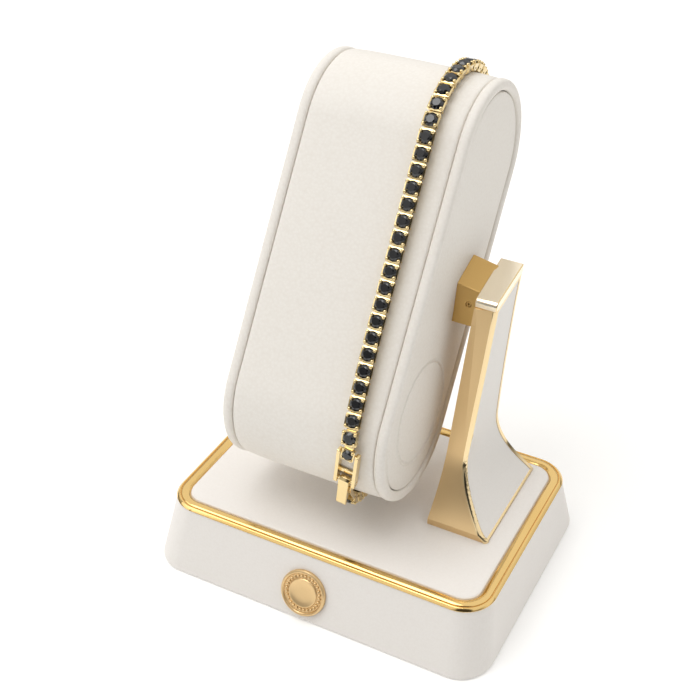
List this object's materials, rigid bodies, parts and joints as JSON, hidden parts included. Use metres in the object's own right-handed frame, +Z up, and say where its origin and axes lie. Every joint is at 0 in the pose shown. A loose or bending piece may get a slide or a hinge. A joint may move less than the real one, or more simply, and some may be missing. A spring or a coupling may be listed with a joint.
{
  "type": "tennis bracelet on display stand",
  "caption": "Closed line bracelet of prong-set black stones with a fold-over clasp, round a leather pillow on a tapered display stand.",
  "frame": {"origin": "centre of the stand base's flat underside, which rests on the table", "axes": "+Z up, +X to the side of the arm that carries the pillow, -Y to the front, where the clasp hangs"},
  "size_m": [0.0702, 0.0678, 0.0929],
  "materials": {
    "stand_leather": "fine grained off-white leather",
    "inlay_leather": "smooth pale leather panel",
    "satin_gold": "brushed champagne gold plate",
    "trim_gold": "polished gold plate",
    "bracelet_gold": "polished yellow gold",
    "set_stones": "polished black faceted stones in yellow gold settings"
  },
  "bodies": {
    "root": {"base_body": "stand_leather", "base_trim": "trim_gold", "base_pad": "stand_leather", "front_boss": "trim_gold", "arm_post": "satin_gold", "arm_inlay": "inlay_leather", "pivot_block": "satin_gold", "pillow_body": "stand_leather", "pillow_rim_left": "stand_leather", "pillow_rim_right": "stand_leather", "pillow_end_left": "stand_leather", "pillow_end_right": "stand_leather", "strand_back": "set_stones", "strand_front": "set_stones", "clasp_frame": "bracelet_gold", "clasp_tongue": "bracelet_gold"},
    "clasp_lever": {"clasp_lever": "bracelet_gold"}
  },
  "joints": [
    {"name": "lever_hinge", "type": "hinge", "parent": "root", "child": "clasp_lever", "pos_m": [0.004, -0.01908, 0.03076], "axis": [-0.9893, -0.0165, 0.1451], "range_deg": [0, 110]}
  ]
}
